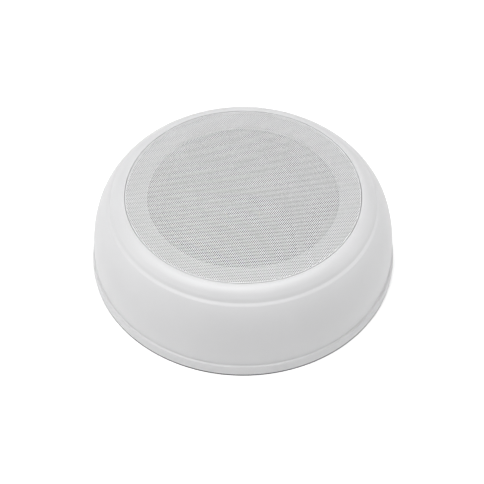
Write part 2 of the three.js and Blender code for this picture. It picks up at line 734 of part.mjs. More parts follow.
function buildLeads() {
  const underBobbin = TRANSFORMER.bottom + TRANSFORMER.width / 6 - 0.5;
  const lugLevel = 37.9;
  const { angle, poleOffset } = BLOCK;
  const lead = (name, points, look) => addPiece(name, wire(points, LEAD_RADIUS, 14), look);

  // from the driver's lugs to the inner side of the bobbin
  lead(
    "driver_lead_1",
    [
      polar(DRIVER.tabAngle, 63, -5, lugLevel),
      [56, 56, 40],
      [52, 68, 34],
      [34, 73, 25],
      [16, 74, 22],
      [9, 74.5, underBobbin],
    ],
    RED_PVC,
  );
  lead(
    "driver_lead_2",
    [
      polar(DRIVER.tabAngle, 63, 5, lugLevel),
      [44, 60, 40],
      [34, 67, 33],
      [16, 69, 26],
      [-2, 72, 22],
      [-9, 74.5, underBobbin],
    ],
    BLACK_PVC,
  );
  // from the terminal block round to the selector
  lead(
    "line_lead_1",
    [
      polar(angle, 92, poleOffset, SLEEVE_LEVEL),
      polar(angle, 83, poleOffset, SLEEVE_LEVEL),
      polar(248, 76, 0, 20),
      polar(270, 75, 0, 18),
      polar(292, 76, 0, 22),
      polar(311, 78, 0, 29),
    ],
    BLUE_PVC,
  );
  // from the terminal block through the thermal fuse and the capacitor to the transformer
  lead(
    "line_lead_2",
    [
      polar(angle, 92, -poleOffset, SLEEVE_LEVEL),
      polar(angle, 84, -poleOffset, SLEEVE_LEVEL),
      polar(211, 82, 0, 25),
      polar(202, 90, 0, 29),
      polar(FUSE.angle, FUSE.radius, 5.9, FUSE.height),
    ],
    RED_PVC,
  );
  lead(
    "fuse_lead",
    [
      polar(FUSE.angle, FUSE.radius, -5.9, FUSE.height),
      polar(FUSE.angle, FUSE.radius, -10, FUSE.height + 0.5),
      polar(174, 96, 0, 36),
      polar(CAPACITOR.angle, CAPACITOR.radius, 6, 44),
      polar(CAPACITOR.angle, CAPACITOR.radius, 5, CAPACITOR.bottom - 0.4),
    ],
    RED_PVC,
  );
  lead(
    "capacitor_lead",
    [
      polar(CAPACITOR.angle, CAPACITOR.radius, -5, CAPACITOR.bottom - 0.4),
      polar(CAPACITOR.angle, CAPACITOR.radius, -6, 44),
      polar(140, 93, 0, 32),
      polar(119, 97, 0, 23),
      [-22, 98.5, 21],
      [-8, 97.5, underBobbin],
    ],
    BLACK_PVC,
  );
  // from the selector round to two taps of the transformer's line winding
  [1, 2].forEach((number) => {
    const spread = 3 * (number - 1);
    lead(
      `tap_lead_${number}`,
      [
        polar(318 + spread, 78, 0, 31 - spread),
        polar(340, 80 + spread, 0, 24),
        polar(2, 84 + spread, 0, 20),
        polar(30, 92 + spread, 0, 18),
        polar(56, 99 + spread, 0, 19),
        [22, 99.5 + spread, 21],
        [9 - 2 * spread, 97.5, underBobbin],
      ],
      number === 1 ? BLUE_PVC : BLACK_PVC,
    );
  });
}

buildCeilingSide();
buildHousing();
buildDriver();
buildTransformer();
buildTerminals();
buildSelector();
buildSmallParts();
buildLeads();

export default speaker;
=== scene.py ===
"""A round surface-mount ceiling loudspeaker, lying on its back with the grille up.

The CAD frame gives every place and size. Lengths here are millimetres of the CAD drawing,
turned into the frame's metres by MM.
"""

import math

import bmesh
import bpy
from mathutils import Matrix, Vector


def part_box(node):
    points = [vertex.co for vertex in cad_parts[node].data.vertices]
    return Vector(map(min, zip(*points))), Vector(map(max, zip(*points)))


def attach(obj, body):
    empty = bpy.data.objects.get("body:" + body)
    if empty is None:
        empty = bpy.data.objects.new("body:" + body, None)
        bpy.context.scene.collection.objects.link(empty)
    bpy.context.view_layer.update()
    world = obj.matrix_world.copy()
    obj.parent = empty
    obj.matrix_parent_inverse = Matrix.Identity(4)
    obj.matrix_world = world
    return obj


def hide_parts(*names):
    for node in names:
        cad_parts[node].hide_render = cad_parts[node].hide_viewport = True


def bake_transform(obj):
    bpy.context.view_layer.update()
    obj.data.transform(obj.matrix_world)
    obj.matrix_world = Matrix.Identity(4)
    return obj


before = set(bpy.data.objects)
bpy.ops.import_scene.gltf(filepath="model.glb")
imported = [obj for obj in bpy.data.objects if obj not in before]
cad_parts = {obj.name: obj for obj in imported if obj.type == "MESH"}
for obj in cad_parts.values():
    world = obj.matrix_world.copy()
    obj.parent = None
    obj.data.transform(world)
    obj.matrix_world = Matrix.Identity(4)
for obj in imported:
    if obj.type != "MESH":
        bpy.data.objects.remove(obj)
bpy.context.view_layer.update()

BASE_RADIUS = 125
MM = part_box("housing")[1].x / BASE_RADIUS

FINE = 256  # segments of a piece that shows its outline
MEDIUM = 128
SMALL = 40
SCREW_SEGMENTS = 32
CREASE = 35  # degrees of turn above which an edge stays sharp
SOFT_CREASE = 60

# ------------------------------------------------------------------ camera

# The photograph looks down at the speaker by about 50 degrees, from straight in front.
CAMERA_PLACE = (-0.9, -446.5, 535)
CAMERA_TILT = 49.83  # degrees below the horizon
CAMERA_LENS = 61.7
SENSOR_WIDTH = 36


def set_camera():
    data = bpy.data.cameras.new("camera")
    data.lens = CAMERA_LENS
    data.sensor_width = SENSOR_WIDTH
    data.clip_start = 0.01
    camera = bpy.data.objects.new("camera", data)
    camera.location = Vector(CAMERA_PLACE) * MM
    camera.rotation_euler = (math.radians(90 - CAMERA_TILT), 0, 0)
    bpy.context.scene.collection.objects.link(camera)
    bpy.context.scene.camera = camera


# ------------------------------------------------------------------ material helpers


def shade(code):
    """A colour code such as "#e9e9ea" as the linear colour that the shader takes."""
    parts = [int(code[i : i + 2], 16) / 255 for i in (1, 3, 5)]
    linear = [c / 12.92 if c <= 0.04045 else ((c + 0.055) / 1.055) ** 2.4 for c in parts]
    return (*linear, 1)


def add(tree, kind, *links, **settings):
    """A new node. links are (input, source socket) pairs; settings are its own properties."""
    made = tree.nodes.new("ShaderNode" + kind)
    for key, value in settings.items():
        setattr(made, key, value)
    for target, source in links:
        if isinstance(source, bpy.types.NodeSocket):
            tree.links.new(source, made.inputs[target])
        else:
            made.inputs[target].default_value = source
    return made


def sums(tree, operation, *values):
    """A Math node on sockets or numbers."""
    links = [(i, value) for i, value in enumerate(values)]
    return add(tree, "Math", *links, operation=operation).outputs[0]


def where_in_mm(tree):
    """The point on the piece, in millimetres of the frame at rest."""
    point = add(tree, "TexCoord").outputs["Object"]
    scale = add(tree, "VectorMath", (0, point), (1, (1 / MM, 1 / MM, 1 / MM)), operation="MULTIPLY")
    return scale.outputs[0]


def noise(tree, where, size, detail=3.0, roughness=0.5):
    """Cloudy noise from 0 to 1 with features of about that size in mm."""
    links = [("Vector", where), ("Scale", 1 / size), ("Detail", detail), ("Roughness", roughness)]
    return add(tree, "TexNoise", *links).outputs[0]


MIDDLE = (0.3, 0.7)  # the range that most of a noise lies in


def between(tree, factor, low, high):
    """factor's middle range spread from low to high."""
    first, last = MIDDLE
    links = [("Value", factor), ("From Min", first), ("From Max", last)]
    links += [("To Min", low), ("To Max", high)]
    return add(tree, "MapRange", *links).outputs[0]


def tinted(tree, factor, low, high):
    """A colour from low to high as factor goes through its middle."""
    ramp = add(tree, "ValToRGB", ("Fac", factor))
    for stop, position, colour in zip(ramp.color_ramp.elements, MIDDLE, (low, high)):
        stop.position = position
        stop.color = shade(colour)
    return ramp.outputs[0]


def raised(tree, height, depth, below=None):
    """A bump of that depth in mm, on top of another bump if one is given."""
    links = [("Height", height), ("Distance", depth * MM), ("Strength", 1.0)]
    if below is not None:
        links.append(("Normal", below))
    return add(tree, "Bump", *links).outputs[0]


def wave(tree, value, period):
    """A smooth wave from 0 to 1 with that period in mm."""
    turn = sums(tree, "SINE", sums(tree, "MULTIPLY", value, 2 * math.pi / period))
    return sums(tree, "MULTIPLY_ADD", turn, 0.5, 0.5)


def weave(tree, where, period):
    """The over and under of a plain cloth, running at 45 degrees to the frame."""
    axis = add(tree, "SeparateXYZ", (0, where))
    along = sums(tree, "ADD", axis.outputs[0], axis.outputs[1])
    across = sums(tree, "SUBTRACT", axis.outputs[0], axis.outputs[1])
    stretch = period * math.sqrt(2)
    return sums(tree, "MULTIPLY", wave(tree, along, stretch), wave(tree, across, stretch))


def turns(tree, where, period):
    """Wire or tape wound round a vertical axis."""
    return wave(tree, add(tree, "SeparateXYZ", (0, where)).outputs[2], period)


def sheets(tree, where, period):
    """Thin plates stacked front to back."""
    return wave(tree, add(tree, "SeparateXYZ", (0, where)).outputs[1], period)


def from_axis(tree, where):
    """The distance from the speaker's axis."""
    flat = add(tree, "VectorMath", (0, where), (1, (1, 1, 0)), operation="MULTIPLY")
    return add(tree, "VectorMath", (0, flat.outputs[0]), operation="LENGTH").outputs["Value"]


def rings(tree, where, period):
    """Circles round the speaker's axis, as pressing or turning leaves them."""
    return wave(tree, from_axis(tree, where), period)


def pores(tree, where, period):
    """Round cells, as in foam or perforated leathercloth."""
    links = [("Vector", where), ("Scale", 1 / period)]
    return add(tree, "TexVoronoi", *links).outputs["Distance"]


FINISHES = {}


def surface(
    name,
    dark,
    light,
    rough,
    patch=6.0,
    grain=0.3,
    depth=0.01,
    pattern=None,
    tint=0.0,
    **sockets,
):
    """A procedural finish.

    Colour wanders from dark to light in patches, roughness over the range rough, and a fine
    grain of that size and depth lies on it. pattern is (function, period, depth) for a weave,
    winding or other regular relief, and tint is how much of it shows in the colour. The other
    arguments are the shader's own sockets.
    """
    material = bpy.data.materials.new(name + "_finish")
    FINISHES[name] = material
    material.use_nodes = True
    tree = material.node_tree
    shader = tree.nodes["Principled BSDF"]
    where = where_in_mm(tree)
    cloud = noise(tree, where, patch)
    fine = noise(tree, where, grain, detail=2.0)
    colour = tinted(tree, cloud, dark, light)
    normal = raised(tree, fine, depth)
    if pattern:
        relief, period, pattern_depth = pattern
        height = relief(tree, where, period)
        normal = raised(tree, height, pattern_depth, normal)
        if tint:
            low = sums(tree, "MULTIPLY_ADD", height, tint, 1 - tint)
            lowered = add(tree, "VectorMath", (0, colour), ("Scale", low), operation="SCALE")
            colour = lowered.outputs[0]
    mixed = sums(tree, "MULTIPLY_ADD", fine, 0.4, sums(tree, "MULTIPLY", cloud, 0.6))
    tree.links.new(colour, shader.inputs["Base Color"])
    tree.links.new(between(tree, mixed, *rough), shader.inputs["Roughness"])
    tree.links.new(normal, shader.inputs["Normal"])
    for key, value in sockets.items():
        shader.inputs[key.replace("_", " ")].default_value = value


PAINTED_SHADE_UNDER_GRILLE = 0.5  # share of its brightness that the face behind the grille loses, as painted shade standing in for the shade under the grille


def paint_shade_under_grille(tree):
    """Paints shade into the colour of the housing's face behind the grille, standing in for the
    shade that falls under the grille.
    """
    shader = tree.nodes["Principled BSDF"]
    skin = shader.inputs["Base Color"].links[0].from_socket
    where = where_in_mm(tree)
    inside = sums(tree, "LESS_THAN", from_axis(tree, where), RECESS - 0.5)
    height = add(tree, "SeparateXYZ", (0, where)).outputs[2]
    on_top = sums(tree, "GREATER_THAN", height, BAFFLE_TOP - 0.6)
    behind = sums(tree, "MULTIPLY", inside, on_top)
    share = sums(tree, "MULTIPLY_ADD", behind, -PAINTED_SHADE_UNDER_GRILLE, 1)
    shaded_colour = add(tree, "VectorMath", (0, skin), ("Scale", share), operation="SCALE")
    tree.links.new(shaded_colour.outputs[0], shader.inputs["Base Color"])


def make_finishes():
    """One finish for each of the record's material slots."""
    surface("white_abs", "#d3d3d4", "#d6d6d7", (0.38, 0.44), patch=40, grain=0.25, depth=0.004)
    # painted shade on the housing's face under the grille
    paint_shade_under_grille(FINISHES["white_abs"].node_tree)
    surface(
        "grille_steel", "#e9e9ea", "#ececed", (0.55, 0.65), patch=25, grain=0.5, depth=0.01,
        Specular_IOR_Level=0.25,
    )
    surface("grey_seal", "#38393a", "#434445", (0.8, 0.9), grain=0.2, depth=0.03)
    surface("black_rubber", "#151516", "#1c1c1d", (0.6, 0.75), grain=0.15, depth=0.01)
    surface(
        "black_foam", "#161617", "#1f1f20", (0.9, 1), grain=0.2, depth=0.05,
        pattern=(pores, 0.6, 0.15), tint=0.4,
    )
    surface(
        "black_steel", "#1c1d1f", "#242628", (0.35, 0.5), grain=0.6, depth=0.02,
        Metallic=0.2, Coat_Weight=0.15,
    )
    surface(
        "zinc_steel", "#a7abb0", "#c2c4c4", (0.25, 0.42), patch=3, grain=0.15, depth=0.006,
        pattern=(rings, 0.35, 0.004), Metallic=1.0,
    )
    surface(
        "ferrite", "#26272a", "#33343a", (0.6, 0.8), patch=2, grain=0.2, depth=0.03,
        pattern=(rings, 0.8, 0.01),
    )
    surface(
        "cone_paper", "#2c2c2e", "#37373a", (0.8, 0.95), patch=3, grain=0.25, depth=0.05,
        pattern=(rings, 2.4, 0.06), tint=0.12,
    )
    surface("whizzer_paper", "#33322f", "#3f3d39", (0.8, 0.95), patch=1.5, grain=0.2, depth=0.04)
    surface(
        "former_paper", "#8d7a5c", "#a08c6c", (0.5, 0.65), patch=2, grain=0.2, depth=0.01,
        pattern=(turns, 4, 0.03),
    )
    surface(
        "pleated_cloth", "#212122", "#2b2b2c", (0.7, 0.9), grain=0.2, depth=0.02,
        pattern=(weave, 0.45, 0.06), tint=0.35, Sheen_Weight=0.2,
    )
    surface(
        "spider_cloth", "#a87a2c", "#c08f3e", (0.6, 0.8), grain=0.2, depth=0.02,
        pattern=(weave, 0.5, 0.08), tint=0.35, Sheen_Weight=0.1,
    )
    surface(
        "copper", "#a9552b", "#c26f3f", (0.25, 0.4), patch=2, grain=0.1, depth=0.003,
        pattern=(turns, 0.3, 0.08), tint=0.35, Metallic=1.0, Coat_Weight=0.5,
    )
    surface(
        "brass", "#bb9440", "#d0ab58", (0.25, 0.4), patch=2, grain=0.12, depth=0.005,
        Metallic=1.0,
    )
    surface(
        "phenolic", "#593218", "#6f4123", (0.45, 0.6), patch=1.2, grain=0.15, depth=0.01,
        pattern=(weave, 0.6, 0.01), tint=0.15,
    )
    surface(
        "core_steel", "#43454a", "#55585d", (0.4, 0.55), patch=2, grain=0.15, depth=0.01,
        pattern=(sheets, 0.5, 0.08), tint=0.5, Metallic=0.8,
    )
    surface("black_nylon", "#18181a", "#202022", (0.42, 0.55), grain=0.2, depth=0.008)
    surface(
        "winding_tape", "#c99d24", "#d8ae35", (0.2, 0.35), patch=5, grain=0.6, depth=0.02,
        pattern=(turns, 5.5, 0.12), tint=0.12, Coat_Weight=0.4,
    )
    surface(
        "ceramic", "#e6e0d2", "#efeadd", (0.12, 0.25), patch=1.2, grain=0.4, depth=0.01,
        Coat_Weight=0.5,
    )
    surface("selector_knob", "#e4dfd2", "#ece8dc", (0.35, 0.48), grain=0.2, depth=0.006)
    surface(
        "capacitor_case", "#2b4f86", "#365f9b", (0.25, 0.4), patch=4, grain=0.3, depth=0.01,
        Coat_Weight=0.3,
    )
    surface("red_pvc", "#a51f23", "#b92b2e", (0.35, 0.5), patch=3, grain=0.2, depth=0.006)
    surface("black_pvc", "#161617", "#1e1e1f", (0.35, 0.5), patch=3, grain=0.2, depth=0.006)
    surface("blue_pvc", "#264592", "#3054a4", (0.35, 0.5), patch=3, grain=0.2, depth=0.006)


# ------------------------------------------------------------------ shape helpers


def new_piece(name, shape, crease=CREASE):
    """The bmesh shape as an object, smooth except where it turns by more than crease degrees."""
    bmesh.ops.remove_doubles(shape, verts=shape.verts, dist=1e-7)
    bmesh.ops.recalc_face_normals(shape, faces=shape.faces)
    mesh = bpy.data.meshes.new(name)
    shape.to_mesh(mesh)
    shape.free()
    mesh.shade_smooth()
    mesh.set_sharp_from_angle(angle=math.radians(crease))
    piece = bpy.data.objects.new(name, mesh)
    bpy.context.scene.collection.objects.link(piece)
    return piece


def dress(piece, slot, body, *nodes):
    """Gives a piece its finish, its body and the CAD nodes that it stands for."""
    piece.data.materials.clear()
    piece.data.materials.append(FINISHES[slot])
    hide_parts(*nodes)
    if body:
        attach(piece, body)
    return piece


def rounded(corners, steps=4):
    """A closed outline from (across, up) or (across, up, rounding) corners."""
    outline = []
    for i, corner in enumerate(corners):
        here = Vector(corner[:2])
        if len(corner) < 3:
            outline.append(here)
            continue
        back = Vector(corners[i - 1][:2]) - here
        on = Vector(corners[(i + 1) % len(corners)][:2]) - here
        reach = min(corner[2], 0.49 * back.length, 0.49 * on.length)
        start = here + back.normalized() * reach
        end = here + on.normalized() * reach
        for step in range(steps + 1):
            t = step / steps
            outline.append(start.lerp(here, t).lerp(here.lerp(end, t), t))
    return outline


def bezier(start, bend, end, count):
    """Points along a quadratic curve, ends included."""
    start, bend, end = Vector(start), Vector(bend), Vector(end)
    steps = [i / count for i in range(count + 1)]
    return [tuple(start.lerp(bend, t).lerp(bend.lerp(end, t), t)) for t in steps]


def thick_line(line, thickness, steps=6):
    """A closed outline of a sheet whose underside runs along the line of (radius, height)."""
    under = smooth_line(line, steps)
    over = [(r, z + thickness) for r, z in reversed(under)]
    return under + over


def smooth_line(points, steps):
    """A smooth curve through the points, which stay on it."""
    points = [Vector(p) for p in points]
    found = []
    for i in range(len(points) - 1):
        before, a = points[max(i - 1, 0)], points[i]
        b, after = points[i + 1], points[min(i + 2, len(points) - 1)]
        for step in range(steps):
            t = step / steps
            pull = (b - before) * t + (2 * before - 5 * a + 4 * b - after) * t * t
            place = a + 0.5 * (pull + (3 * a - before - 3 * b + after) * t**3)
            found.append(tuple(place))
    found.append(tuple(points[-1]))
    return found


def revolve(shape, profile, segments, closed=True, centre=(0, 0)):
    """Turns a (radius, height) profile about the vertical line through centre."""
    circles = []
    for i in range(segments):
        angle = 2 * math.pi * i / segments
        c, s = math.cos(angle), math.sin(angle)
        places = [(centre[0] + r * c, centre[1] + r * s, z) for r, z in profile]
        circles.append([shape.verts.new(Vector(place) * MM) for place in places])
    last = len(profile) if closed else len(profile) - 1
    for i in range(segments):
        here, there = circles[i], circles[(i + 1) % segments]
        for j in range(last):
            k = (j + 1) % len(profile)
            shape.faces.new((here[j], there[j], there[k], here[k]))


def lathe(name, profile, segments=MEDIUM, crease=CREASE, centre=(0, 0)):
    shape = bmesh.new()
    revolve(shape, profile, segments, centre=centre)
    return new_piece(name, shape, crease)


def turned_ring(name, inner, outer, bottom, top, edge, segments=MEDIUM, centre=(0, 0)):
    corners = [(inner, bottom, edge), (outer, bottom, edge), (outer, top, edge), (inner, top, edge)]
    return lathe(name, rounded(corners), segments, centre=centre)


def copied(name, node, crease=SOFT_CREASE):
    """The CAD node's own solid, smooth except at its sharp edges."""
    shape = bmesh.new()
    shape.from_mesh(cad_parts[node].data)
    return new_piece(name, shape, crease)


def refined(name, node, edge, segments=2):
    """The CAD node's own solid with its edges rounded, as moulding or pressing leaves them."""
    shape = bmesh.new()
    shape.from_mesh(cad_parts[node].data)
    bmesh.ops.remove_doubles(shape, verts=shape.verts, dist=1e-6)
    flat = math.radians(1)
    bmesh.ops.dissolve_limit(shape, angle_limit=flat, verts=shape.verts, edges=shape.edges)
    piece = new_piece(name, shape)
    bevel = piece.modifiers.new("edges", "BEVEL")
    bevel.width = edge * MM
    bevel.segments = segments
    bevel.angle_limit = math.radians(CREASE)
    bevel.harden_normals = True
    return piece


def softened(name, node):
    """The CAD node's own solid drawn smooth, for a lead."""
    piece = copied(name, node)
    smooth = piece.modifiers.new("smooth", "SUBSURF")
    smooth.levels = 2
    smooth.render_levels = 2
    return piece


def carve(piece, *tools):
    """Cuts the tools out of the piece."""
    for tool in tools:
        cutter = piece.modifiers.new("cut", "BOOLEAN")
        cutter.operation = "DIFFERENCE"
        cutter.solver = "EXACT"
        cutter.object = tool
    bpy.context.view_layer.update()
    ready = piece.evaluated_get(bpy.context.evaluated_depsgraph_get())
    mesh = bpy.data.meshes.new_from_object(ready)
    piece.modifiers.clear()
    piece.data = mesh
    mesh.set_sharp_from_angle(angle=math.radians(CREASE))
    for tool in tools:
        bpy.data.objects.remove(tool)
    return piece


def middle(node):
    low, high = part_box(node)
    return (low + high) / 2 / MM


# ------------------------------------------------------------------ screws

RECESS_DEPTH = 1.1
RECESS_TAPER = 0.6  # how much narrower a cross is at its bottom


def recess_tools(reach, width, depth, heading, slotted):
    """The arms of a cross, or the one arm of a slot, narrowing downwards from the XY plane."""
    tools = []
    for turn in [0] if slotted else [0, math.pi / 2]:
        shape = bmesh.new()
        bmesh.ops.create_cube(shape, size=1)
        for vert in shape.verts:
            deep = vert.co.z > 0
            narrow = RECESS_TAPER if deep and not slotted else 1
            x, y = vert.co.x * 2 * reach * narrow, vert.co.y * width
            vert.co = Vector((x, y, depth if deep else -1)) * MM
        turned = Matrix.Rotation(turn + heading, 3, "Z")
        bmesh.ops.rotate(shape, verts=shape.verts, matrix=turned)
        tools.append(new_piece("recess", shape))
    return tools


def screw(node, body, slot, head_radius, head_height, shank_radius, head_up=False, slotted=False):
    """A threaded pan-head screw in the place of the CAD one."""
    low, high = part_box(node)
    centre = middle(node)
    length = (high.z - low.z) / MM
    pitch = shank_radius * 0.8
    profile = [(0, 0), (head_radius * 0.55, 0), (head_radius * 0.85, head_height * 0.22)]
    profile += [(head_radius, head_height * 0.6), (head_radius, head_height)]
    profile += [(shank_radius, head_height)]
    height = head_height + pitch
    while height < length - 2 * pitch:
        profile += [(shank_radius * 0.78, height), (shank_radius, height + pitch * 0.5)]
        height += pitch
    profile += [(shank_radius * 0.7, height), (0, length)]
    piece = lathe(node + "_part", profile, SCREW_SEGMENTS)
    heading = 0.7 * len(piece.name) + centre.x  # each screw stops at its own angle
    wide = 0.3 * head_radius
    carve(piece, *recess_tools(head_radius * 0.62, wide, RECESS_DEPTH, heading, slotted))
    if head_up:
        turn = Matrix.Rotation(math.pi, 4, "X")
        piece.data.transform(turn)
    foot = high.z if head_up else low.z
    piece.data.transform(Matrix.Translation((centre.x * MM, centre.y * MM, foot)))
    return dress(piece, slot, body, node)


# ------------------------------------------------------------------ housing

LIP = [(125, 1.3, 0.4), (123.7, 9.3, 0.3), (122.2, 9.9, 0.4)]
SKIRT = [(122.1, 11), (120.9, 45.2), (107.2, 60.2)]
GROOVE = [(106.3, 61.25, 1), (104.3, 62.4, 0.8)]
BEZEL = [(103.8, 62.9), (102.5, 64.7), (101, 66.2), (99, 67.85), (96.5, 69.2), (94, 69.75)]
BEZEL += [(92, 69.6)]
RECESS = 91.8
RECESS_TOP = 69.3
INNER_WALL = [(102.4, 60.6), (118, 45), (119.7, 10)]
BAFFLE_TOP = 66.4
BAFFLE_BOTTOM = 64
OPENING = 75
LUG = {"count": 4, "start": 16, "span": 12}  # degrees
LUG_SECTION = {"inner": 112, "outer": 123.3, "bottom": 3.4, "top": 6.2}
PILOT = 1.5  # radius of the hole that a screw bites into
BOSS_TOP = 64.5


def housing_profile():
    corners = list(LIP)
    corners += bezier(*SKIRT, 28)
    corners += GROOVE
    corners += smooth_line(BEZEL, 5)
    corners += [(RECESS, RECESS_TOP, 0.2), (RECESS, BAFFLE_TOP, 0.5)]
    corners += [(OPENING, BAFFLE_TOP, 1), (OPENING, BAFFLE_BOTTOM, 0.3)]
    corners += [(100.4, BAFFLE_BOTTOM, 0.8)]
    corners += bezier(*INNER_WALL, 16)
    corners += [(121.6, 8.4, 0.3), (122.2, 1.3, 0.3)]
    return rounded(corners)


def boss(shape, centre, outer, bottom, top, inner=PILOT):
    """A hollow screw boss that hangs from the top and is open at the bottom."""
    corners = [(inner, bottom, 0.2), (outer, bottom, 0.3), (outer, top), (inner, top)]
    revolve(shape, rounded(corners, 2), SMALL, centre=centre)


def arc_block(shape, start, end, inner, outer, bottom, top, steps=10):
    """Part of a flat ring, between two angles in degrees."""
    rows = []
    for i in range(steps + 1):
        angle = math.radians(start + (end - start) * i / steps)
        c, s = math.cos(angle), math.sin(angle)
        places = [(inner, bottom), (outer, bottom), (outer, top), (inner, top)]
        rows.append([shape.verts.new(Vector((r * c, r * s, z)) * MM) for r, z in places])
    for here, there in zip(rows, rows[1:]):
        for j in range(4):
            shape.faces.new((here[j], there[j], there[(j + 1) % 4], here[(j + 1) % 4]))
    shape.faces.new(rows[0])
    shape.faces.new(rows[-1][::-1])


def around(angle, radius):
    turn = math.radians(angle)
    return (radius * math.cos(turn), radius * math.sin(turn))


def make_housing():
    shape = bmesh.new()
    revolve(shape, housing_profile(), FINE)
    for i in range(LUG["count"]):
        start = i * 360 / LUG["count"] + LUG["start"]
        arc_block(shape, start, start + LUG["span"], **LUG_SECTION)
    for angle in (0, 90, 180, 270):  # for the driver's clamps
        boss(shape, around(angle, 88.5), 3.6, 61, BOSS_TOP)
    for side in (-1, 1):  # for the transformer
        boss(shape, (side * 29, 86), 4, 57.6, BOSS_TOP)
    for angle in (225, 315):  # for the terminal block and the selector
        boss(shape, around(angle, 97), 4.5, 36, BOSS_TOP)
    dress(new_piece("housing_shell", shape), "white_abs", "front", "housing")
    seal = turned_ring("ceiling_seal", 119.6, 124.9, 0, 1.2, 0.3, FINE)
    dress(seal, "grey_seal", "seal", "rim_seal")


# ------------------------------------------------------------------ grille

GRILLE = {"radius": 91.3, "top": 69.4, "sheet": 0.3, "rim_bottom": 66.7, "margin": 90.9}
HOLE_PITCH = 1.55
HOLE_RADIUS = 0.61
ROW_TURN = -2.75  # degrees that the rows of holes are turned
HOLE_REACH = 0.25  # how far past the margin the last hole centres lie
HOLE_CLEARANCE = 0.04  # what is left between a hole and the margin
RIM_ROUNDING = 0.4


def hole_sites(limit):
    """The centres of the staggered holes, by their two row numbers."""
    along = Vector((HOLE_PITCH, 0))
    across = Vector((HOLE_PITCH / 2, HOLE_PITCH * math.sqrt(3) / 2))
    reach = int(limit / HOLE_PITCH * 1.3)  # the second rows lean, so they run further
    sites = {}
    for i in range(-reach, reach + 1):
        for j in range(-reach, reach + 1):
            place = along * i + across * j
            if place.length <= limit:
                sites[i, j] = place
    return sites


def perforate(shape):
    """The flat of the grille: a sheet with a six-sided hole at every site."""
    top, bottom = GRILLE["top"], GRILLE["top"] - GRILLE["sheet"]
    turn = math.radians(ROW_TURN)
    corners = [
        Vector((math.cos(turn + a), math.sin(turn + a))) * HOLE_RADIUS
        for a in (math.radians(30 + 60 * k) for k in range(6))
    ]
    rotation = Matrix.Rotation(turn, 2)
    rims = {}
    edge = GRILLE["margin"] - HOLE_CLEARANCE
    for key, place in hole_sites(GRILLE["margin"] + HOLE_REACH).items():
        centre = rotation @ place
        spots = [centre + corner for corner in corners]
        spots = [spot * min(1, edge / spot.length) for spot in spots]
        upper = [shape.verts.new(Vector((*spot, top)) * MM) for spot in spots]
        lower = [shape.verts.new(Vector((*spot, bottom)) * MM) for spot in spots]
        rims[key] = (upper, lower)
    ways = [(1, 0), (0, 1), (-1, 1)]  # three neighbours; the other three reach back to this one
    for (i, j), (upper, lower) in rims.items():
        for k in range(6):
            n = (k + 1) % 6
            shape.faces.new((upper[k], upper[n], lower[n], lower[k]))
        near = [rims.get((i + di, j + dj)) for di, dj in ways]
        for k, other in enumerate(near):
            if other is None:
                continue
            for mine, theirs in zip((upper, lower), other):
                shape.faces.new((mine[k - 1], theirs[(k + 3) % 6], theirs[k + 2], mine[k]))
        for k, (first, second) in enumerate(zip(near, near[1:])):
            if first is None or second is None:
                continue
            for mine, one, two in zip((upper, lower), first, second):
                shape.faces.new((mine[k], one[k + 2], two[k + 4]))


def fill_margin(shape, circle):
    """Fills the sheet from the outermost holes to a circle of vertices."""
    level = circle[0].co.z
    open_edges = [edge for edge in shape.edges if edge.is_boundary]
    edges = [edge for edge in open_edges if all(abs(v.co.z - level) < 1e-6 for v in edge.verts)]
    bmesh.ops.triangle_fill(shape, edges=edges, use_beauty=True, normal=(0, 0, 1))


def make_grille():
    radius, top, sheet = GRILLE["radius"], GRILLE["top"], GRILLE["sheet"]
    margin, foot = GRILLE["margin"], GRILLE["rim_bottom"]
    shape = bmesh.new()
    perforate(shape)
    corners = [(radius - sheet, foot, 0.2), (radius, foot, 0.2), (radius, top, RIM_ROUNDING)]
    corners += [(margin, top), (margin, top - sheet), (radius - sheet, top - sheet)]
    profile = rounded(corners, 5)
    gap = next(i for i, p in enumerate(profile) if abs(p.x - margin) < 1e-3)
    profile = profile[gap + 1 :] + profile[: gap + 1]
    start = len(shape.verts)
    revolve(shape, profile, FINE, closed=False)
    shape.verts.ensure_lookup_table()
    count = len(profile)
    for place in (0, count - 1):
        circle = [shape.verts[start + i * count + place] for i in range(FINE)]
        fill_margin(shape, circle)
    dress(new_piece("perforated_grille", shape, 40), "grille_steel", "grille", "grille")


# ------------------------------------------------------------------ ceiling side


def make_ceiling_side():
    plate = refined("ceiling_plate", "mounting_plate", 0.3)
    dress(plate, "white_abs", "base", "mounting_plate")
    entry = middle("cable_grommet")
    corners = [(5, 0.1, 0.3), (10.3, 0.1, 0.3), (10.3, 1, 0.2), (7.7, 1, 0.2), (7.7, 2.9, 0.2)]
    corners += [(10.4, 2.9, 0.3), (9.6, 4.4, 0.6), (5, 4.4, 0.6)]
    grommet = lathe("entry_grommet", rounded(corners), 64, centre=(entry.x, entry.y))
    dress(grommet, "black_rubber", "base", "cable_grommet")
    dress(refined("cord_clamp", "cable_clamp", 0.4), "white_abs", "base", "cable_clamp")
    for i in (1, 2):
        screw(f"cable_clamp_screw_{i}", "base", "zinc_steel", 2.8, 1.8, 1, head_up=True)


# ------------------------------------------------------------------ driver


def stretch_between(piece, fixed_radius, moving_radius):
    """Bakes the piece's place into its mesh and works out each vertex's share between the two
    radii, which is then not used.
    """
    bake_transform(piece)
    for vert in piece.data.vertices:
        radius = math.hypot(vert.co.x, vert.co.y) / MM
        t = (fixed_radius - radius) / (fixed_radius - moving_radius)
        t = min(max(t, 0), 1)


